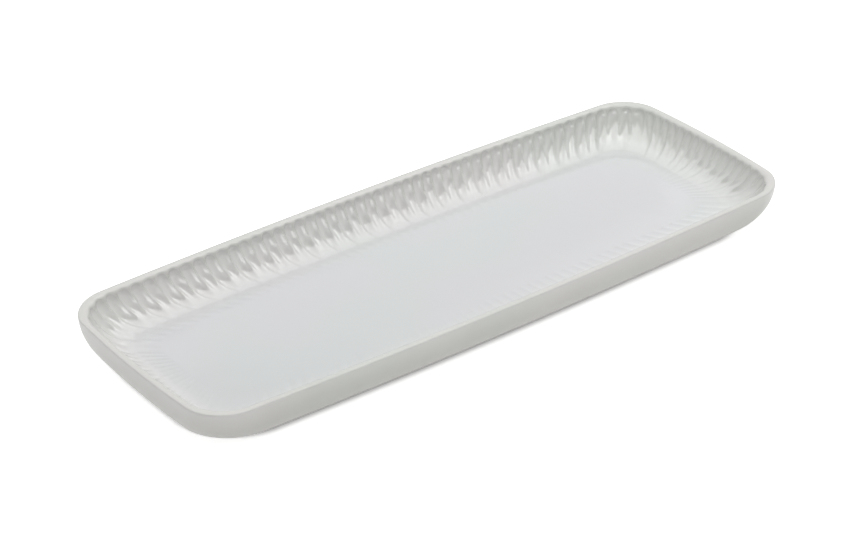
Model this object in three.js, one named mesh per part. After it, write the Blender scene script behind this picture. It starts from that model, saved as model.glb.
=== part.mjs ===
// A long stoneware snack platter: one pressed clay body with a fluted inside wall and a bare foot
// ring, under three coats of glaze. Millimetres, +Z up. The foot stands on z = 0 and the long side
// runs along X, with the origin under the middle of the platter.

import * as THREE from "three";

// Overall size, over the glaze
const PLATTER_LENGTH = 300;
const PLATTER_WIDTH = 110;
const PLATTER_HEIGHT = 20;

// Plan: a rounded rectangle whose sides stand out in the middle. No corner takes a side's last bit.
const CORNER_RADIUS = 16.5;
const LEAST_STRAIGHT = 4;
const LONG_SIDE_BOW = 3.6;
const SHORT_SIDE_BOW = 2.9;

// Rim and outside wall: the wall tucks under in a quarter ellipse from the rim to the underside
const RIM_WIDTH = 3.1;
const RIM_ROUND = 1.4;
const BELLY_RUN = 10.5;

// Inside: the wall slopes in from the rim, and would meet the floor's level after its lean. A cove
// sweeps it into the flat floor instead.
const FLOOR_THICKNESS = 4;
const WALL_LEAN = 6;
const COVE_RUN = 15;
const FLOOR_CORNER_RADIUS = 13;

// Flutes in the cove: long and short ones take turns, each deepest just under the rim
const FLUTE_PITCH = 5.7;
const FLUTE_DEPTH = 0.9;
const LONG_FLUTE_REACH = 14;
const SHORT_FLUTE_REACH = 8;

// Foot ring: a bare clay ring under the floor, set in from the belly by a level ledge
const FOOT_HEIGHT = 2;
const FOOT_WIDTH = 3.5;
const FOOT_TAPER = 0.6;
const FOOT_LEDGE = 3;
const FOOT_CORNER_RADIUS = 26;

// Glaze: one thickness all over, wiped back from the foot ring
const GLAZE_THICKNESS = 0.5;
const WIPED_MARGIN = 1;

// Fineness of the faceted surfaces
const LONG_SIDE_STEPS = 8;
const SHORT_SIDE_STEPS = 4;
const CORNER_STEPS = 6;
const BELLY_STEPS = 5;
const RIM_STEPS = 4;
const COVE_STEPS = 6;
const COLUMNS_PER_FLUTE = 2;

const PLAN_STRETCHES = 8;

const floorInset = RIM_WIDTH + COVE_RUN;
const floorTop = FOOT_HEIGHT + FLOOR_THICKNESS;
const footOuter = BELLY_RUN + FOOT_LEDGE;
const footInner = footOuter + FOOT_WIDTH + 2 * FOOT_TAPER;
const quarterTurn = Math.PI / 2;

// The plan radius of the corners, a given way in from the rim's outer edge: the inside tightens
// down to the floor, and the outside gets rounder down to the foot, whose ring has an even width
function insideCorner(inset) {
  return THREE.MathUtils.lerp(CORNER_RADIUS, FLOOR_CORNER_RADIUS, inset / floorInset);
}

function outsideCorner(inset) {
  const radius = THREE.MathUtils.lerp(CORNER_RADIUS, FOOT_CORNER_RADIUS, inset / footOuter);
  return inset < footOuter ? radius : FOOT_CORNER_RADIUS + footOuter - inset;
}

// The eight stretches of the plan outline, anticlockwise from the start of the +X end
function planStretches(inset, fullRadius) {
  const x = PLATTER_LENGTH / 2 - inset;
  const y = PLATTER_WIDTH / 2 - inset;
  const radius = Math.min(fullRadius, x - LEAST_STRAIGHT / 2, y - LEAST_STRAIGHT / 2);
  const centreX = x - radius;
  const centreY = y - radius;
  const side = (x0, y0, x1, y1) =>
    new THREE.LineCurve(new THREE.Vector2(x0, y0), new THREE.Vector2(x1, y1));
  const corner = (signX, signY, start) =>
    new THREE.EllipseCurve(
      signX * centreX, signY * centreY, radius, radius, start, start + quarterTurn);
  return [
    side(x, -centreY, x, centreY),
    corner(1, 1, 0),
    side(centreX, y, -centreX, y),
    corner(-1, 1, quarterTurn),
    side(-x, centreY, -x, -centreY),
    corner(-1, -1, 2 * quarterTurn),
    side(-centreX, -y, centreX, -y),
    corner(1, -1, 3 * quarterTurn),
  ];
}

// Draws the sides in towards the corners, so that their middles stand out by the bow
function bow(point) {
  const alongX = point.x / (PLATTER_LENGTH / 2);
  const alongY = point.y / (PLATTER_WIDTH / 2);
  return new THREE.Vector2(
    point.x - SHORT_SIDE_BOW * alongX * alongY * alongY,
    point.y - LONG_SIDE_BOW * alongY * alongX * alongX);
}

// A column is one place round the plan: a stretch, and how far along it
function columnsRound(shortSteps, longSteps, cornerSteps) {
  const steps = [shortSteps, cornerSteps, longSteps, cornerSteps];
  const columns = [];
  for (let stretch = 0; stretch < PLAN_STRETCHES; stretch += 1) {
    const count = steps[stretch % steps.length];
    for (let step = 0; step < count; step += 1) {
      columns.push({ stretch, along: step / count, order: columns.length });
    }
  }
  return columns;
}

const plainColumns = columnsRound(SHORT_SIDE_STEPS, LONG_SIDE_STEPS, CORNER_STEPS);

// An even number of flutes fits each stretch, so that long and short ones take turns all round
function flutesAlong(length) {
  return 2 * Math.max(1, Math.round(length / (2 * FLUTE_PITCH)));
}

const flutedColumns = columnsRound(
  COLUMNS_PER_FLUTE * flutesAlong(PLATTER_WIDTH - 2 * CORNER_RADIUS),
  COLUMNS_PER_FLUTE * flutesAlong(PLATTER_LENGTH - 2 * CORNER_RADIUS),
  COLUMNS_PER_FLUTE * flutesAlong(CORNER_RADIUS * quarterTurn));

// How deep a column is cut into the cove: ridges aren't cut, and each flute runs out at its reach
function fluteCut(column, distanceFromRim) {
  const isRidge = column.order % COLUMNS_PER_FLUTE === 0;
  const isLong = Math.floor(column.order / COLUMNS_PER_FLUTE) % 2 === 0;
  const reach = isLong ? LONG_FLUTE_REACH : SHORT_FLUTE_REACH;
  return isRidge ? 0 : FLUTE_DEPTH * Math.max(0, 1 - distanceFromRim / reach);
}

// A station is one place on the section of the glazed wall: how far in from the rim's outer edge,
// how high, which way the surface faces there, and how round its corners are in plan
function stationOn(curve, share, corner) {
  const point = curve.getPoint(share);
  const tangent = curve.getTangent(share);
  return { inset: point.x, z: point.y, faceInset: -tangent.y, faceZ: tangent.x, corner };
}

function stationsAlong(curve, steps, corner) {
  return Array.from({ length: steps + 1 }, (_, step) => stationOn(curve, step / steps, corner));
}

// A level place under the platter, facing down
function undersideStation(inset, z) {
  return { inset, z, faceInset: 0, faceZ: -1, corner: outsideCorner };
}

const rimBase = PLATTER_HEIGHT - RIM_ROUND;
const belly = new THREE.EllipseCurve(
  BELLY_RUN, rimBase, BELLY_RUN, rimBase - FOOT_HEIGHT, 3 * quarterTurn, 2 * quarterTurn, true);
const rim = new THREE.EllipseCurve(
  RIM_WIDTH / 2, rimBase, RIM_WIDTH / 2, RIM_ROUND, 2 * quarterTurn, 0, true);
const cove = new THREE.QuadraticBezierCurve(
  new THREE.Vector2(RIM_WIDTH, rimBase),
  new THREE.Vector2(RIM_WIDTH + WALL_LEAN, floorTop),
  new THREE.Vector2(floorInset, floorTop));

const glazeLine = undersideStation(footOuter - WIPED_MARGIN, FOOT_HEIGHT);
const outsideStations = [glazeLine, ...stationsAlong(belly, BELLY_STEPS, outsideCorner)];
const rimStations = stationsAlong(rim, RIM_STEPS, insideCorner);
const crestStep = RIM_STEPS / 2;
const rimOutside = rimStations.slice(1, crestStep + 1);
const rimInside = rimStations.slice(crestStep, RIM_STEPS);
const coveStations = stationsAlong(cove, COVE_STEPS, insideCorner);

// A ring is a closed loop of points, one for each column, sunk from the glazed surface by a depth
function ring(station, columns, depth, cut = () => 0) {
  const points = columns.map((column) => {
    const sunk = depth + cut(column, station.inset - RIM_WIDTH);
    const inset = station.inset - sunk * station.faceInset;
    const z = station.z - sunk * station.faceZ;
    const stretches = planStretches(inset, station.corner(inset));
    const plan = bow(stretches[column.stretch].getPoint(column.along));
    return new THREE.Vector3(plan.x, plan.y, z);
  });
  const places = columns.map((column) => column.stretch + column.along);
  return { points, places, level: station.z - depth * station.faceZ };
}

function plainRings(stations, depth) {
  return stations.map((station) => ring(station, plainColumns, depth));
}

// The flutes start below an even edge under the rim, and end at a plain ring round the floor
function coveRings(depth) {
  const edge = ring(coveStations[0], flutedColumns, depth);
  const fluted = coveStations
    .slice(1, COVE_STEPS)
    .map((station) => ring(station, flutedColumns, depth, fluteCut));
  const floor = ring(coveStations[COVE_STEPS], plainColumns, depth);
  return [edge, ...fluted, floor];
}

function undersideRing(inset, z) {
  return ring(undersideStation(inset, z), plainColumns, 0);
}

// Skins a stack of rings. A stack either closes on its first ring or has a flat cap at each end.
function skin(rings, closesOnItself) {
  const positions = rings.flatMap((loop) => loop.points.flatMap((point) => point.toArray()));
  const starts = [];
  let total = 0;
  for (const loop of rings) {
    starts.push(total);
    total += loop.points.length;
  }
  const triangles = [];

  // Joins two rings by always stepping along the one that lags behind round the plan. Where they are
  // level, the lower one steps first, so a coat's back has the very facets of the clay under it.
  const join = (first, second) => {
    const firstCount = rings[first].points.length;
    const secondCount = rings[second].points.length;
    const firstAt = (step) => starts[first] + (step % firstCount);
    const secondAt = (step) => starts[second] + (step % secondCount);
    const firstWinsTies = rings[first].level <= rings[second].level;
    const placeAfter = (loop, step) => {
      const lap = Math.floor((step + 1) / loop.places.length);
      return loop.places[(step + 1) % loop.places.length] + lap * PLAN_STRETCHES;
    };
    let i = 0;
    let j = 0;
    while (i < firstCount || j < secondCount) {
      const lead = placeAfter(rings[second], j) - placeAfter(rings[first], i);
      if (lead > 0 || (lead === 0 && firstWinsTies)) {
        triangles.push(firstAt(i), firstAt(i + 1), secondAt(j));
        i += 1;
      } else {
        triangles.push(firstAt(i), secondAt(j + 1), secondAt(j));
        j += 1;
      }
    }
  };

  const cap = (index, facesUp) => {
    const outline = rings[index].points.map((point) => new THREE.Vector2(point.x, point.y));
    for (const [a, b, c] of THREE.ShapeUtils.triangulateShape(outline, [])) {
      const corners = facesUp ? [a, b, c] : [a, c, b];
      triangles.push(...corners.map((corner) => starts[index] + corner));
    }
  };

  for (let index = 0; index + 1 < rings.length; index += 1) {
    join(index, index + 1);
  }
  if (closesOnItself) {
    join(rings.length - 1, 0);
  } else {
    cap(0, false);
    cap(rings.length - 1, true);
  }

  const geometry = new THREE.BufferGeometry();
  geometry.setAttribute("position", new THREE.Float32BufferAttribute(positions, 3));
  geometry.setIndex(triangles);
  geometry.computeVertexNormals();
  return geometry;
}

const bareClay = new THREE.MeshStandardMaterial({ color: 0xcfc4b2, roughness: 0.85, metalness: 0 });
const pearlGlaze = new THREE.MeshStandardMaterial({ color: 0xdadbd8, roughness: 0.12, metalness: 0 });

// The clay body, ringed from the recess under the floor out over the foot, up the wall and in again
function stonewareBody() {
  const clayBase = FOOT_HEIGHT + GLAZE_THICKNESS;
  const rings = [
    undersideRing(footInner, clayBase),
    undersideRing(footInner - FOOT_TAPER, 0),
    undersideRing(footOuter + FOOT_TAPER, 0),
    undersideRing(footOuter, clayBase),
    ...plainRings(outsideStations, GLAZE_THICKNESS),
    ...plainRings(rimOutside, GLAZE_THICKNESS),
    ...plainRings(rimInside.slice(1), GLAZE_THICKNESS),
    ...coveRings(GLAZE_THICKNESS),
  ];
  return new THREE.Mesh(skin(rings, false), bareClay);
}

// The inside coat: its back lies on the clay from the floor to the crest, its face is the finished one
function insideGlaze() {
  const back = [...plainRings(rimInside, GLAZE_THICKNESS), ...coveRings(GLAZE_THICKNESS)];
  const face = [...plainRings(rimInside, 0), ...coveRings(0)];
  return new THREE.Mesh(skin([...back.reverse(), ...face], false), pearlGlaze);
}

// The outside coat: a belt from the wiped ledge beside the foot up to the crest of the rim
function outsideGlaze() {
  const stations = [...outsideStations, ...rimOutside];
  const face = plainRings(stations, 0);
  const back = plainRings(stations, GLAZE_THICKNESS);
  return new THREE.Mesh(skin([...face, ...back.reverse()], true), pearlGlaze);
}

// The underside coat: a flat sheet in the recess, wiped back from the foot ring
function undersideGlaze() {
  const edge = footInner + WIPED_MARGIN;
  const face = undersideRing(edge, FOOT_HEIGHT);
  const back = undersideRing(edge, FOOT_HEIGHT + GLAZE_THICKNESS);
  return new THREE.Mesh(skin([face, back], false), pearlGlaze);
}

const platter = new THREE.Group();
platter.name = "snack_platter";

const pieces = {
  stoneware_body: stonewareBody(),
  inside_glaze: insideGlaze(),
  outside_glaze: outsideGlaze(),
  underside_glaze: undersideGlaze(),
};

for (const [name, mesh] of Object.entries(pieces)) {
  mesh.name = name;
  platter.add(mesh);
}

export default platter;
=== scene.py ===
import math

import bpy
import numpy as np
from mathutils import Matrix, Vector


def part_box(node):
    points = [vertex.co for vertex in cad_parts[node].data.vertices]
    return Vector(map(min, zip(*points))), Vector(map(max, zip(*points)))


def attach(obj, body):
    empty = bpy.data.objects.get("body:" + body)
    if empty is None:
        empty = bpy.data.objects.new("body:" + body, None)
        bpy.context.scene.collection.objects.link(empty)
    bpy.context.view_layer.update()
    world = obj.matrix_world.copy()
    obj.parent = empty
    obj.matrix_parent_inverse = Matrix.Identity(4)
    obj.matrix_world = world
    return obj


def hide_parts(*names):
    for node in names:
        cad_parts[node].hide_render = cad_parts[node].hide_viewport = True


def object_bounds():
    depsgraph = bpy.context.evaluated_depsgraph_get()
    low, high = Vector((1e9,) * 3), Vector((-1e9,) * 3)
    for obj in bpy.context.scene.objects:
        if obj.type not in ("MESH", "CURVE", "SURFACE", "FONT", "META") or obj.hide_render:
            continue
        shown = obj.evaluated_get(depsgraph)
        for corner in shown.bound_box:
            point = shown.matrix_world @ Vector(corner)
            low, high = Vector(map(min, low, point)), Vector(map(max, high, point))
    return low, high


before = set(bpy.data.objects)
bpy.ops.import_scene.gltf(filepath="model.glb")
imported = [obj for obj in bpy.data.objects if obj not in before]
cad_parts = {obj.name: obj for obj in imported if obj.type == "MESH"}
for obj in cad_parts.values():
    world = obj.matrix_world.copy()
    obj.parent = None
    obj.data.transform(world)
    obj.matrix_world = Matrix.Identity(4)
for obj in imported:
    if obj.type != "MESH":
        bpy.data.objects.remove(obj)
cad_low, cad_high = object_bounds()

# The clay body: pale stoneware, pressed into a mould that stamps the flutes into its wall, then fired.
# It shows bare only on the foot ring under the platter, which was wiped clean of glaze so that the
# ware would not stick to the kiln shelf.
MM = 0.001
HALF_SIZE = np.array([cad_high.x, cad_high.y])
HEIGHT = cad_high.z
GLAZE = 0.5 * MM
FLOOR_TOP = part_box("inside_glaze")[0].z + GLAZE
FOOT_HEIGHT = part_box("outside_glaze")[0].z

# The plan: round corners, tighter at the floor and wider at the foot than at the rim, and ends and
# sides that bow out at their middles
CORNER_RADIUS = 16.5 * MM
FLOOR_CORNER_RADIUS = 13 * MM
FOOT_CORNER_RADIUS = 26 * MM
SIDE_BOW = np.array([2.9, 3.6]) * MM

# The section: a rim with a crisp outer edge, a narrow flat and a broad inner roll, a wall that leans in
# and sweeps down to the floor, a belly that tucks under, and a foot ring with tapered sides
RIM_WIDTH = 3.1 * MM
RIM_EDGE = 0.7 * MM
RIM_BASE = HEIGHT - RIM_EDGE
RIM_FLAT = 0.6 * MM
ROLL_RUN = 2.7 * MM
ROLL_DROP = 2.2 * MM
WALL_LEAN = 6 * MM
COVE_RUN = 15 * MM
FLOOR_INSET = RIM_WIDTH + COVE_RUN
BELLY_RUN = 10.5 * MM
BELLY_RISE = RIM_BASE - FOOT_HEIGHT
FOOT_LEDGE = 3 * MM
FOOT_WIDTH = 3.5 * MM
FOOT_TAPER = 0.6 * MM
FOOT_EDGE = 0.5 * MM
FOOT_OUTER = BELLY_RUN + FOOT_LEDGE
FOOT_INNER = FOOT_OUTER + FOOT_WIDTH + 2 * FOOT_TAPER

# The middle of a rounded edge lies in from the corner that was rounded off by a share of its size
EDGE_ROUND = 0.25

# Angles round an arc of the section, in degrees from the side that faces in. The rim's roll stops a
# little short of that, where the wall takes over
FACING_UP = 90
FACING_OUT = 180
FACING_DOWN = 270
ROLL_END = 19

# Flutes along one end, round one corner and along one long side: long and short ones take turns,
# and they are set a little closer at the middle of the long sides than near the corners
END_FLUTES = 14
CORNER_FLUTES = 4
SIDE_FLUTES = 46
FLUTE_PITCH = 5.8 * MM
SIDE_SPREAD = 0.09

# Each flute is a scoop with an arched top, a flat bed and steep sides, that starts in the rim's roll
# and is deepest just under it. It runs out down the wall, the long ones as a faint tip on the floor
FLUTE_TOP = -1.2 * MM
FLUTE_ARCH = 4 * MM
FLUTE_DEPTH = 1.1 * MM
LONG_RUN = (10.6 * MM, 19.6 * MM)
SHORT_RUN = (4.6 * MM, 12.1 * MM)
TIP_RUN = (19.1 * MM, 25.1 * MM)
TIP_SHARE = 0.04
SHORT_TAIL = 0.3
BED_FLATNESS = 2.3
SOFT_EDGE = 0.13 * MM
FLUTED_FLOOR = 8 * MM

# The ends are stamped less deep than the sides, and the depth wanders in waves, so many to a flute
END_STAMP = 0.6
HAND_WORK = 0.22
HAND_WAVES = (0.37, 0.13)


def walk_round(end_steps, corner_steps, side_steps):
    """Places round the plan, anticlockwise from the +X end: the corner centre that each one swings
    about, as a share of the corner centres' spread, and the way that the outline faces there."""
    centres = []
    facings = []
    for quarter in range(4):
        facing = quarter * math.pi / 2
        ahead = np.round([math.cos(facing), math.sin(facing)])
        along = np.array([-ahead[1], ahead[0]])
        steps = side_steps if quarter % 2 else end_steps
        spread = SIDE_SPREAD if quarter % 2 else 0
        for step in range(steps):
            way = 2 * step / steps - 1
            centres.append(ahead + (way - spread * math.sin(math.pi * way) / math.pi) * along)
            facings.append(facing)
        for step in range(corner_steps):
            centres.append(ahead + along)
            facings.append(facing + step / corner_steps * math.pi / 2)
    facings = np.array(facings)
    return np.array(centres), np.column_stack([np.cos(facings), np.sin(facings)])


def inside_corner(inset):
    """The corner radius of the inside, a given way in from the rim's outer edge."""
    share = inset / FLOOR_INSET
    return CORNER_RADIUS + (FLOOR_CORNER_RADIUS - CORNER_RADIUS) * share


def outside_corner(inset):
    """The corner radius of the outside, which grows as far as the foot and keeps its centre from there."""
    share = np.minimum(inset / FOOT_OUTER, 1)
    radius = CORNER_RADIUS + (FOOT_CORNER_RADIUS - CORNER_RADIUS) * share
    return radius - np.maximum(inset - FOOT_OUTER, 0)


def ring(places, inset, z, corner):
    """A closed loop of points round the plan, a given way in from the rim's outer edge."""
    centres, facings = places
    inset = np.broadcast_to(inset, len(centres))[:, None]
    z = np.broadcast_to(z, len(centres))
    radius = corner(inset)
    plan = centres * (HALF_SIZE - inset - radius) + radius * facings
    share = plan / HALF_SIZE
    plan = plan - SIDE_BOW * share * share[:, ::-1] ** 2
    return np.column_stack([plan, z])


def arc_stations(inset, z, run, rise, start, end, steps):
    """Stations on an arc of the section, between two angles: inset, height and the way each faces."""
    turn = np.linspace(math.radians(start), math.radians(end), steps + 1)
    facing = np.column_stack([np.cos(turn) / run, np.sin(turn) / rise])
    facing /= np.linalg.norm(facing, axis=1)[:, None]
    return np.column_stack([inset + run * np.cos(turn), z + rise * np.sin(turn), facing])


def cove_stations(steps):
    """Stations down the inside wall, which slopes in from the rim and sweeps into the floor."""
    share = np.linspace(0, 1, steps + 1)[:, None]
    top = rim_roll[-1, :2]
    aim = np.array([RIM_WIDTH + WALL_LEAN, FLOOR_TOP])
    end = np.array([FLOOR_INSET, FLOOR_TOP])
    place = (1 - share) ** 2 * top + 2 * share * (1 - share) * aim + share**2 * end
    slope = (1 - share) * (aim - top) + share * (end - aim)
    facing = np.column_stack([-slope[:, 1], slope[:, 0]])
    facing /= np.linalg.norm(facing, axis=1)[:, None]
    return np.column_stack([place, facing])


def floor_stations(steps):
    """Stations on over the edge of the floor, as far as the tips of the flutes."""
    inset = FLOOR_INSET + np.linspace(0, FLUTED_FLOOR, steps + 1)
    level = np.ones(steps + 1)
    return np.column_stack([inset, FLOOR_TOP * level, 0 * level, level])


def inside_stations(roll, cove_steps, floor_steps):
    """Stations down the inside from the rim's flat, and how far each lies below the rim's roll."""
    stations = np.vstack([roll, cove_stations(cove_steps)[1:], floor_stations(floor_steps)[1:]])
    steps = np.linalg.norm(np.diff(stations[:, :2], axis=0), axis=1)
    way_down = np.concatenate([[0], np.cumsum(steps)])
    return stations, way_down - way_down[len(roll) - 1]


def run_out(down, stretch):
    """How much of a flute's depth is left at a way down from the rim, as it runs out over a stretch."""
    start, end = stretch
    run = np.clip((down - start) / (end - start), 0, 1)
    return (1 + math.cos(math.pi * run)) / 2


def scooped(across, down, left):
    """How deep one flute lies at a way across from its middle and down from the rim."""
    over = min((down - FLUTE_TOP) / FLUTE_ARCH - 1, 0)
    rise = np.hypot(across / (FLUTE_PITCH / 2), over) ** BED_FLATNESS
    return FLUTE_DEPTH * (left - rise)


def soft_most(first, second):
    """The greater of two depths, with the edge between them rounded off."""
    return (first + second + np.sqrt((first - second) ** 2 + SOFT_EDGE**2)) / 2


def stamped_depth(down, flutes):
    """How deep the flutes lie at a way down the wall, for each place round it."""
    turn, stamp = flutes
    from_long = np.abs((turn + 1) % 2 - 1) * FLUTE_PITCH
    from_short = FLUTE_PITCH - from_long
    long_left = (1 - TIP_SHARE) * run_out(down, LONG_RUN) + TIP_SHARE * run_out(down, TIP_RUN)
    short_left = (1 - SHORT_TAIL) * run_out(down, SHORT_RUN) + SHORT_TAIL * run_out(down, LONG_RUN)
    long_flutes = scooped(from_long, down, long_left)
    short_flutes = scooped(from_short, down, short_left)
    return stamp * soft_most(soft_most(long_flutes, short_flutes), 0)


def flutes_round(end_steps, corner_steps, side_steps):
    """Which flute each place round the plan is in, counted from the start of its stretch, and how deep
    the mould stamps there: less at the ends than along the sides, and never quite evenly, because
    the mould was cut by hand."""
    turns = []
    stamps = []
    for quarter in range(4):
        straight = (SIDE_FLUTES, side_steps) if quarter % 2 else (END_FLUTES, end_steps)
        here, after = (1, END_STAMP) if quarter % 2 else (END_STAMP, 1)
        for (flutes, steps), last in ((straight, here), ((CORNER_FLUTES, corner_steps), after)):
            way = np.arange(steps) / steps
            waves = [np.sin(2 * math.pi * round(flutes * wave) * way) for wave in HAND_WAVES]
            turns.append(way * flutes)
            stamps.append((here + (last - here) * way) * (1 + HAND_WORK * sum(waves) / 2))
    return np.concatenate(turns), np.concatenate(stamps)


def sunk_ring(places, station, depth, corner):
    """A ring at a station of the section, sunk straight in from the surface there."""
    inset, z, facing_in, facing_up = station
    return ring(places, inset - depth * facing_in, z - depth * facing_up, corner)


SHARP_ANGLE = math.radians(60)


def skin(name, rings, closes):
    """A smooth mesh over a stack of rings, which closes on its first ring or is capped at both ends."""
    count = len(rings[0])
    points = np.vstack(rings)
    here = np.arange(count)
    after = (here + 1) % count
    faces = []
    last = len(rings) if closes else len(rings) - 1
    for level in range(last):
        low = level * count
        high = (level + 1) % len(rings) * count
        faces += np.column_stack([low + here, low + after, high + after, high + here]).tolist()
    if not closes:
        faces.append(here[::-1].tolist())
        faces.append((here + last * count).tolist())
    mesh = bpy.data.meshes.new(name)
    mesh.from_pydata(points.tolist(), [], faces)
    mesh.shade_smooth()
    mesh.set_sharp_from_angle(angle=SHARP_ANGLE)
    piece = bpy.data.objects.new(name, mesh)
    bpy.context.scene.collection.objects.link(piece)
    return piece


def new_finish(name):
    """A new material, with its nodes and its links."""
    finish = bpy.data.materials.new(name)
    finish.use_nodes = True
    return finish, finish.node_tree.nodes, finish.node_tree.links


def noise(nodes, links, scale, detail):
    """A cloudy pattern fixed to the platter, with so many clouds to the metre and layers of finer ones."""
    place = nodes.new("ShaderNodeTexCoord")
    cloud = nodes.new("ShaderNodeTexNoise")
    cloud.inputs["Scale"].default_value = scale
    cloud.inputs["Detail"].default_value = detail
    links.new(place.outputs["Object"], cloud.inputs["Vector"])
    return cloud.outputs["Fac"]


def shades(nodes, links, value, colours):
    """A colour that runs through several, each reached where the value is as given."""
    ramp = nodes.new("ShaderNodeValToRGB")
    stops = ramp.color_ramp.elements
    while len(stops) < len(colours):
        stops.new(1)
    for stop, (place, colour) in zip(stops, colours.items()):
        stop.position = place
        stop.color = (*colour, 1)
    links.new(value, ramp.inputs["Fac"])
    return ramp.outputs["Color"]


def ranged(nodes, links, value, low, high, start=0, full=1):
    """A value that runs from start to full, turned into one that runs from low to high."""
    span = nodes.new("ShaderNodeMapRange")
    span.inputs["From Min"].default_value = start
    span.inputs["From Max"].default_value = full
    span.inputs["To Min"].default_value = low
    span.inputs["To Max"].default_value = high
    links.new(value, span.inputs["Value"])
    return span.outputs["Result"]


def bumped(nodes, links, value, height, shader):
    """Gives a finish a fine relief of a given height."""
    bump = nodes.new("ShaderNodeBump")
    bump.inputs["Distance"].default_value = height
    links.new(value, bump.inputs["Height"])
    links.new(bump.outputs["Normal"], shader.inputs["Normal"])


CLAY_MOTTLE = (90, 4)
CLAY_COLOURS = {0.35: (0.56, 0.49, 0.39), 0.65: (0.68, 0.61, 0.51)}
CLAY_GRAIN = (2600, 3)
GRAIN_ROUGHNESS = (0.78, 0.98)
GRAIN_HEIGHT = 0.12 * MM
bare_clay, nodes, links = new_finish("bare_clay")
shader = nodes["Principled BSDF"]
mottle = noise(nodes, links, *CLAY_MOTTLE)
links.new(shades(nodes, links, mottle, CLAY_COLOURS), shader.inputs["Base Color"])
grain = noise(nodes, links, *CLAY_GRAIN)
links.new(ranged(nodes, links, grain, *GRAIN_ROUGHNESS), shader.inputs["Roughness"])
bumped(nodes, links, grain, GRAIN_HEIGHT, shader)

BELLY_STEPS = 28
RIM_STEPS = 8
ROLL_STEPS = 10
COVE_STEPS = 40
FLOOR_STEPS = 8
belly = arc_stations(BELLY_RUN, RIM_BASE, BELLY_RUN, BELLY_RISE, FACING_DOWN, FACING_OUT, BELLY_STEPS)
rim_crest = (RIM_EDGE + RIM_FLAT / 2, HEIGHT, 0, 1)
outer_rim = arc_stations(RIM_EDGE, RIM_BASE, RIM_EDGE, RIM_EDGE, FACING_OUT, FACING_UP, RIM_STEPS)
outer_rim = np.vstack([outer_rim[1:], rim_crest])
roll_inset = RIM_EDGE + RIM_FLAT
roll_base = HEIGHT - ROLL_DROP
rim_roll = arc_stations(roll_inset, roll_base, ROLL_RUN, ROLL_DROP, FACING_UP, ROLL_END, ROLL_STEPS)
fluted_wall = inside_stations(rim_roll, COVE_STEPS, FLOOR_STEPS)

# Columns of the mesh to each flute
CLAY_COLUMNS = 6
CLAY_STEPS = (END_FLUTES * CLAY_COLUMNS, CORNER_FLUTES * CLAY_COLUMNS, SIDE_FLUTES * CLAY_COLUMNS)
CLAY_BASE = FOOT_HEIGHT + GLAZE

# The clay stops a hairline under the coats, so that no two faces lie in one place
HAIRLINE = 0.03 * MM
UNDER_GLAZE = GLAZE + HAIRLINE
clay_places = walk_round(*CLAY_STEPS)
clay_flutes = flutes_round(*CLAY_STEPS)
foot_section = [
    (FOOT_INNER, CLAY_BASE),
    (FOOT_INNER - FOOT_TAPER, FOOT_EDGE),
    (FOOT_INNER - FOOT_TAPER - FOOT_EDGE * EDGE_ROUND, FOOT_EDGE * EDGE_ROUND),
    (FOOT_INNER - FOOT_TAPER - FOOT_EDGE, 0),
    (FOOT_OUTER + FOOT_TAPER + FOOT_EDGE, 0),
    (FOOT_OUTER + FOOT_TAPER + FOOT_EDGE * EDGE_ROUND, FOOT_EDGE * EDGE_ROUND),
    (FOOT_OUTER + FOOT_TAPER, FOOT_EDGE),
    (FOOT_OUTER, CLAY_BASE),
]
clay_rings = [ring(clay_places, inset, z, outside_corner) for inset, z in foot_section]
clay_rings += [sunk_ring(clay_places, place, UNDER_GLAZE, outside_corner) for place in belly]
clay_rings += [sunk_ring(clay_places, place, UNDER_GLAZE, inside_corner) for place in outer_rim]
for place, down in zip(*fluted_wall):
    depth = UNDER_GLAZE + stamped_depth(down, clay_flutes)
    clay_rings.append(sunk_ring(clay_places, place, depth, inside_corner))

clay_body = skin("clay_body", clay_rings, False)
clay_body.data.materials.append(bare_clay)
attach(clay_body, "root")
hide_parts("stoneware_body")

# The inside glaze: a pale pearl-white gloss coat, poured over the inside from the crest of the rim,
# over the stamped pattern and across the floor. It pools in the grooves, and lies thinner, with a
# warmer tone of clay coming through, along the rim and the edges of the pattern. Its colour also
# carries painted shade and light: the ridges under the rim are painted darker and the flute beds
# lighter, partly for the glaze's thickness and partly as the relief's painted shade and light.

# How thick the glaze lies, as a share of its thickness on the floor, and the colour it has there.
# The darkest colour, for the thinnest glaze, is painted shade low on the outside belly and partly
# painted shade on the ridges, and the flute beds' lighter colour is partly painted light
RIDGE_POOL_AND_PAINTED_SHADE = 0.13
RIM_POOL = 0.25
FLUTE_POOL_AND_PAINTED_LIGHT = 0.6
FLOOR_POOL = 1
GLAZE_COLOURS_AND_PAINTED_SHADE = {
    0: (0.5, 0.5, 0.465),
    RIM_POOL: (0.69, 0.69, 0.66),
    FLUTE_POOL_AND_PAINTED_LIGHT: (0.745, 0.745, 0.72),
    FLOOR_POOL: (0.68, 0.69, 0.698),
}
GLAZE_CLOUDS = (28, 3)
CLOUD_SWING = 0.06
PEARL_CLOUDS = (16, 1)
PEARL_TINTS = {0.4: (0.98, 1, 0.99), 0.6: (1, 0.99, 1)}
GLAZE_IOR = 1.85
GLAZE_RIPPLE = (140, 2)
RIPPLE_ROUGHNESS = (0.02, 0.08)
RIPPLE_HEIGHT = 0.04 * MM
THIN_ROUGHNESS = 0.3
POOLED_ROUGHNESS = 0.03


def put_together(nodes, links, how, first, second):
    """Two values added, multiplied or set against each other for the greater."""
    sums = nodes.new("ShaderNodeMath")
    sums.operation = how
    links.new(first, sums.inputs[0])
    links.new(second, sums.inputs[1])
    return sums.outputs["Value"]


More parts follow.
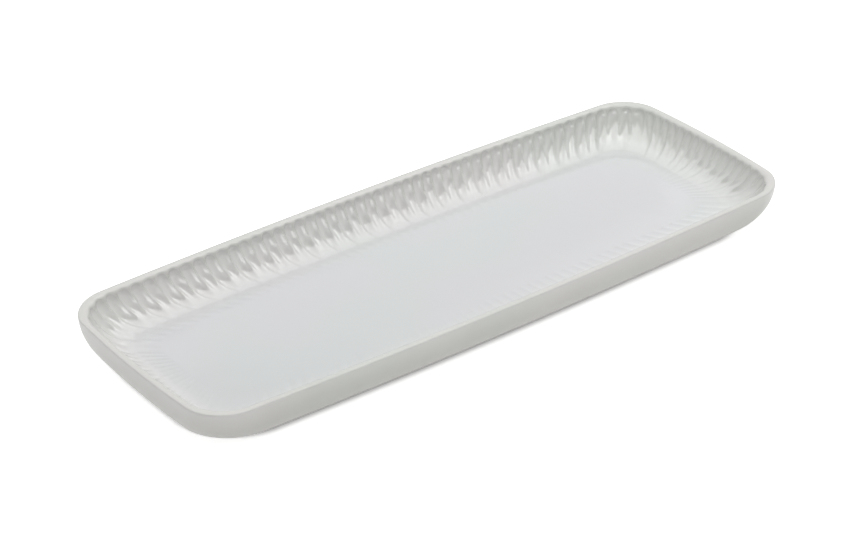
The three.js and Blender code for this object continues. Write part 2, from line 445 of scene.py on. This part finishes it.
pearl_glaze, nodes, links = new_finish("pearl_glaze")
shader = nodes["Principled BSDF"]
shader.inputs["IOR"].default_value = GLAZE_IOR
thickness_and_painted_shade = nodes.new("ShaderNodeAttribute")
thickness_and_painted_shade.attribute_name = "pool_and_painted_shade"
pool_and_painted_shade = thickness_and_painted_shade.outputs["Fac"]
cloud = ranged(nodes, links, noise(nodes, links, *GLAZE_CLOUDS), -CLOUD_SWING, CLOUD_SWING)
clouded = put_together(nodes, links, "ADD", pool_and_painted_shade, cloud)
tinted = nodes.new("ShaderNodeMix")
tinted.data_type = "RGBA"
tinted.blend_type = "MULTIPLY"
tinted.inputs["Factor"].default_value = 1
links.new(shades(nodes, links, clouded, GLAZE_COLOURS_AND_PAINTED_SHADE), tinted.inputs["A"])
links.new(shades(nodes, links, noise(nodes, links, *PEARL_CLOUDS), PEARL_TINTS), tinted.inputs["B"])
links.new(tinted.outputs["Result"], shader.inputs["Base Color"])
ripple = noise(nodes, links, *GLAZE_RIPPLE)
ripple_sheen = ranged(nodes, links, ripple, *RIPPLE_ROUGHNESS)
pool_sheen = ranged(nodes, links, pool_and_painted_shade, THIN_ROUGHNESS, POOLED_ROUGHNESS, RIM_POOL, FLUTE_POOL_AND_PAINTED_LIGHT)
links.new(put_together(nodes, links, "ADD", ripple_sheen, pool_sheen), shader.inputs["Roughness"])
bumped(nodes, links, ripple, RIPPLE_HEIGHT, shader)

# Columns of the mesh to each flute
GLAZE_COLUMNS = 10
GLAZE_STEPS = (END_FLUTES * GLAZE_COLUMNS, CORNER_FLUTES * GLAZE_COLUMNS, SIDE_FLUTES * GLAZE_COLUMNS)
inside_places = walk_round(*GLAZE_STEPS)
inside_flutes = flutes_round(*GLAZE_STEPS)


def inside_rings(stations, depth):
    """Rings over the crest of the rim and down the fluted inside, at a given depth under the glaze."""
    rings = [sunk_ring(inside_places, rim_crest, depth, inside_corner)]
    for place, down in zip(*stations):
        sunk = depth + stamped_depth(down, inside_flutes)
        rings.append(sunk_ring(inside_places, place, sunk, inside_corner))
    return rings


# The coat's back is hidden against the clay, so it follows the flutes with fewer stations
BACK_ROLL_STEP = 5
BACK_COVE_STEPS = 8
back_wall = inside_stations(rim_roll[::BACK_ROLL_STEP], BACK_COVE_STEPS, 0)
back_rings = inside_rings(back_wall, GLAZE)
face_rings = inside_rings(fluted_wall, 0)
inside_glaze = skin("inside_coat", back_rings[::-1] + face_rings, False)
inside_glaze.data.materials.append(pearl_glaze)


def lay_pool_and_painted_shade(piece, share):
    """Sets how thick the glaze lies at each point of a coat, and with it the painted shade and light in
    the glaze's colour.
    """
    layer = piece.data.attributes.new("pool_and_painted_shade", "FLOAT", "POINT")
    layer.data.foreach_set("value", share.ravel())


# Down from the rim, its thin glaze gives way to the grooves' over a short run, the ridges between them
# stay thinly covered a little longer, and the floor's thicker glaze sets in further down. Under the rim
# the ridges are painted darker and the flute beds lighter, partly for the glaze and partly as painted
# shade and light of the relief
RIM_RUN = 2 * MM
RIDGE_RUN = (5.1 * MM, 8.1 * MM)
POOL_START = 11 * MM
POOL_END = 26 * MM
inside_pool_and_painted_shade = np.full((len(back_rings) + len(face_rings), len(back_rings[0])), RIM_POOL)
wall_down = fluted_wall[1]
for share, down in zip(inside_pool_and_painted_shade[-len(wall_down) :], wall_down):
    on_floor = np.clip((down - POOL_START) / (POOL_END - POOL_START), 0, 1)
    on_wall = np.clip((down - FLUTE_TOP) / RIM_RUN, 0, 1)
    sunk = stamped_depth(down, inside_flutes)
    # Painted shade on the ridges under the rim, partly for their thin glaze
    bare_and_shaded = run_out(down, RIDGE_RUN) * (1 - np.sqrt(sunk / sunk.max()))
    flute_share = FLUTE_POOL_AND_PAINTED_LIGHT + bare_and_shaded * (RIDGE_POOL_AND_PAINTED_SHADE - FLUTE_POOL_AND_PAINTED_LIGHT)
    on_wall_share = (1 - on_wall) * RIM_POOL + on_wall * flute_share
    share[:] = (1 - on_floor) * on_wall_share + on_floor * FLOOR_POOL
lay_pool_and_painted_shade(inside_glaze, inside_pool_and_painted_shade)
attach(inside_glaze, "root")
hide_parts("inside_glaze")

# The outside glaze: the same gloss glaze, dipped over the smooth outer wall from the crest of the
# rim, down round the belly and under it, to a soft edge wiped back from the foot ring.

# Steps of the mesh along an end, round a corner and along a side
OUTSIDE_STEPS = (56, 24, 184)
WIPED_MARGIN = 1 * MM
EDGE_BEAD = 0.35 * MM
outside_places = walk_round(*OUTSIDE_STEPS)
glaze_line = FOOT_OUTER - WIPED_MARGIN
edge_section = [
    (glaze_line, CLAY_BASE),
    (glaze_line, FOOT_HEIGHT + EDGE_BEAD),
    (glaze_line - EDGE_BEAD * EDGE_ROUND, FOOT_HEIGHT + EDGE_BEAD * EDGE_ROUND),
    (glaze_line - EDGE_BEAD, FOOT_HEIGHT),
]
outside_face = [ring(outside_places, inset, z, outside_corner) for inset, z in edge_section]
outside_face += [sunk_ring(outside_places, place, 0, outside_corner) for place in belly]
outside_face += [sunk_ring(outside_places, place, 0, inside_corner) for place in outer_rim]
outside_back = [sunk_ring(outside_places, place, GLAZE, outside_corner) for place in belly]
outside_back += [sunk_ring(outside_places, place, GLAZE, inside_corner) for place in outer_rim]
outside_glaze = skin("outside_coat", outside_face + outside_back[::-1], True)
outside_glaze.data.materials.append(pearl_glaze)
# Painted shade: the outside's colour runs darker towards the bottom of the belly, where it tucks under
outside_height = np.array([point.co.z for point in outside_glaze.data.vertices])
up_belly = np.clip((outside_height - FOOT_HEIGHT) / BELLY_RISE, 0, 1)
lay_pool_and_painted_shade(outside_glaze, RIM_POOL * up_belly**2)
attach(outside_glaze, "root")
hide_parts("outside_glaze")

# The underside glaze: a flat pool of the same glaze in the recess inside the foot ring, wiped back
# from the ring to a soft edge.
pool_edge = FOOT_INNER + WIPED_MARGIN
pool_section = [
    (pool_edge + 2 * EDGE_BEAD, FOOT_HEIGHT),
    (pool_edge + EDGE_BEAD, FOOT_HEIGHT),
    (pool_edge + EDGE_BEAD * EDGE_ROUND, FOOT_HEIGHT + EDGE_BEAD * EDGE_ROUND),
    (pool_edge, FOOT_HEIGHT + EDGE_BEAD),
    (pool_edge, CLAY_BASE),
]
pool_rings = [ring(outside_places, inset, z, outside_corner) for inset, z in pool_section]
underside_glaze = skin("underside_coat", pool_rings, False)
underside_glaze.data.materials.append(pearl_glaze)
lay_pool_and_painted_shade(underside_glaze, np.full((len(underside_glaze.data.vertices),), FLOOR_POOL))
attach(underside_glaze, "root")
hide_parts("underside_glaze")

# The table: a plain white sweep that the platter stands on. To the eye and in the glaze it is white
# paper that glows, and it takes the platter's soft shadow. Its glow drops almost to nothing in a
# painted shadow under the platter's edge, which shows as a thin dark line there.
TABLE_HALF = 4
PAPER_COLOUR = (0.9, 0.9, 0.9, 1)

# The painted shadow reaches out to a way in from the platter's edge. The paper's glow, and with it the
# painted shadow, is given by how far a spot lies from the middles of the painted shadow's round corners
PAINTED_SHADOW_INSET = 8.3 * MM
PAINTED_SHADOW_CORNER = 26 * MM
PAINTED_SHADOW_BLUR = 1 * MM
NEAR_PAPER = 0.3
FAR_PAPER = 0.9
PAPER_GLOW_AND_PAINTED_SHADOW = {PAINTED_SHADOW_CORNER: 0.04, PAINTED_SHADOW_CORNER + PAINTED_SHADOW_BLUR: 0.8, NEAR_PAPER: 0.8, FAR_PAPER: 1}
table_mesh = bpy.data.meshes.new("table")
table_corners = [(-TABLE_HALF, -TABLE_HALF, 0), (TABLE_HALF, -TABLE_HALF, 0)]
table_corners += [(TABLE_HALF, TABLE_HALF, 0), (-TABLE_HALF, TABLE_HALF, 0)]
table_mesh.from_pydata(table_corners, [], [(0, 1, 2, 3)])
table = bpy.data.objects.new("table", table_mesh)
bpy.context.scene.collection.objects.link(table)


def seen_rays(nodes, links):
    """1 for rays from the camera, from gloss or through glass, and 0 for light that only falls."""
    path = nodes.new("ShaderNodeLightPath").outputs
    looked_at = put_together(nodes, links, "MAXIMUM", path["Is Camera Ray"], path["Is Glossy Ray"])
    return put_together(nodes, links, "MAXIMUM", looked_at, path["Is Transmission Ray"])


def place_step(nodes, links, how, place, other=None):
    """One step in working out a place on the table, with fixed lengths or with another place."""
    step = nodes.new("ShaderNodeVectorMath")
    step.operation = how
    links.new(place, step.inputs[0])
    if isinstance(other, tuple):
        step.inputs[1].default_value = other
    elif other:
        links.new(other, step.inputs[1])
    return step.outputs["Value" if how == "LENGTH" else "Vector"]


white_paper_and_painted_shadow, nodes, links = new_finish("white_paper_and_painted_shadow")
nodes.remove(nodes["Principled BSDF"])
paper = nodes.new("ShaderNodeBsdfDiffuse")
paper.inputs["Color"].default_value = PAPER_COLOUR
spot = place_step(nodes, links, "ABSOLUTE", nodes.new("ShaderNodeTexCoord").outputs["Object"])

# The painted shadow's sides bow out as the platter's do
share = place_step(nodes, links, "DIVIDE", spot, (*HALF_SIZE, 1))
share = place_step(nodes, links, "MINIMUM", share, (1, 1, 1))
apart = nodes.new("ShaderNodeSeparateXYZ")
links.new(share, apart.inputs["Vector"])
crossed = nodes.new("ShaderNodeCombineXYZ")
links.new(apart.outputs["X"], crossed.inputs["Y"])
links.new(apart.outputs["Y"], crossed.inputs["X"])
crossed_share = crossed.outputs["Vector"]
bow = place_step(nodes, links, "MULTIPLY", crossed_share, crossed_share)
bow = place_step(nodes, links, "MULTIPLY", bow, (*SIDE_BOW, 0))
spot = place_step(nodes, links, "ADD", spot, bow)
painted_shadow_middles = (*(HALF_SIZE - PAINTED_SHADOW_INSET - PAINTED_SHADOW_CORNER), 0)
spot = place_step(nodes, links, "SUBTRACT", spot, painted_shadow_middles)
spot = place_step(nodes, links, "MAXIMUM", spot, (0, 0, 0))
way_out = place_step(nodes, links, "LENGTH", spot)
# Painted shadow: the glow is dimmed under the platter's edge, to the eye and in the glaze
glow_greys = {way: (level, level, level) for way, level in PAPER_GLOW_AND_PAINTED_SHADOW.items()}
paper_glow_and_painted_shadow = shades(nodes, links, way_out, glow_greys)
seen_glow = put_together(nodes, links, "MULTIPLY", paper_glow_and_painted_shadow, seen_rays(nodes, links))
glow = nodes.new("ShaderNodeEmission")
links.new(seen_glow, glow.inputs["Strength"])
both = nodes.new("ShaderNodeAddShader")
links.new(paper.outputs["BSDF"], both.inputs[0])
links.new(glow.outputs["Emission"], both.inputs[1])
links.new(both.outputs["Shader"], nodes["Material Output"].inputs["Surface"])
table_mesh.materials.append(white_paper_and_painted_shadow)

# The studio light: a bank of softboxes hung level above the table, brightest to the right and dimmer
# overhead and towards the back, with a white panel that fills in from the front left. The room has
# white walls, and its ceiling is dim.
BOX_HEIGHT = 1

# How far each softbox reaches from left to right and from front to back, and how bright it is
SOFTBOXES = {
    "right_softbox": ((0.4, 1.05), (-0.53, -0.1), 2.8),
    "right_middle_softbox": ((0.4, 1.05), (-0.1, 0.2), 2.1),
    "right_back_softbox": ((0.4, 1.1), (0.2, 0.55), 1.4),
    "far_softbox": ((0.4, 1.2), (0.55, 1.05), 0.95),
    "far_edge_softbox": ((0.66, 1.3), (1.05, 1.17), 0.3),
    "top_softbox": ((-0.61, 0.4), (-0.53, 1.2), 1.5),
}


def hang_softbox(name, width, depth, radiance):
    """An evenly bright rectangle of light that faces down until it is turned."""
    lamp = bpy.data.lights.new(name, "AREA")
    lamp.shape = "RECTANGLE"
    lamp.size = width
    lamp.size_y = depth
    lamp.energy = radiance * math.pi * lamp.size * lamp.size_y
    softbox = bpy.data.objects.new(name, lamp)
    bpy.context.scene.collection.objects.link(softbox)
    return softbox


for name, ((left, right), (front, back), radiance) in SOFTBOXES.items():
    softbox = hang_softbox(name, right - left, back - front, radiance)
    softbox.location = ((left + right) / 2, (front + back) / 2, BOX_HEIGHT)

PANEL_SIZE = (0.8, 0.4)
PANEL_RADIANCE = 2.5
PANEL_STAND = Vector((-0.64, -1.37, 0.52))
front_panel = hang_softbox("front_panel", *PANEL_SIZE, PANEL_RADIANCE)
front_panel.location = PANEL_STAND
front_panel.rotation_euler = (-PANEL_STAND).to_track_quat("-Z", "Y").to_euler()

# The room's white walls show in the glaze and to the eye, up to an angle above the table
WALL_TOP = math.radians(36)
WALL_BLUR = math.radians(3)
ROOM_FILL = 0.2
ROOM_WHITE = (1, 1, 1, 1)
room = bpy.data.worlds.new("white_room")
room.use_nodes = True
bpy.context.scene.world = room
nodes = room.node_tree.nodes
links = room.node_tree.links
direction = nodes.new("ShaderNodeTexCoord")
height = nodes.new("ShaderNodeSeparateXYZ")
links.new(direction.outputs["Generated"], height.inputs["Vector"])
ceiling_start = math.sin(WALL_TOP + WALL_BLUR)
wall_end = math.sin(WALL_TOP - WALL_BLUR)
walls = ranged(nodes, links, height.outputs["Z"], 0, 1, ceiling_start, wall_end)
seen_walls = put_together(nodes, links, "MULTIPLY", walls, seen_rays(nodes, links))
room_light = ranged(nodes, links, seen_walls, ROOM_FILL, 1)
links.new(room_light, nodes["Background"].inputs["Strength"])
nodes["Background"].inputs["Color"].default_value = ROOM_WHITE

# The camera: a long lens on a stand to the front left of the platter and above it, aimed at a spot on
# the table near the platter's middle and tipped by a hair
CAMERA_AZIMUTH = math.radians(-38.19)
CAMERA_ELEVATION = math.radians(31.27)
CAMERA_ROLL = math.radians(0.48)
CAMERA_DISTANCE = 1.045
CAMERA_AIM = Vector((0.0031, 0.01367, 0))
CAMERA_LENS = 105.98
CAMERA_NEAREST = 0.01
camera = bpy.data.objects.new("camera", bpy.data.cameras.new("camera"))
bpy.context.scene.collection.objects.link(camera)
turned = Matrix.Rotation(CAMERA_AZIMUTH, 4, "Z")
raised = Matrix.Rotation(math.pi / 2 - CAMERA_ELEVATION, 4, "X")
rolled = Matrix.Rotation(CAMERA_ROLL, 4, "Z")
pulled_back = Matrix.Translation((0, 0, CAMERA_DISTANCE))
camera.matrix_world = Matrix.Translation(CAMERA_AIM) @ turned @ raised @ pulled_back @ rolled
camera.data.lens = CAMERA_LENS
camera.data.clip_start = CAMERA_NEAREST
bpy.context.scene.camera = camera
bpy.context.scene.view_settings.view_transform = "Standard"
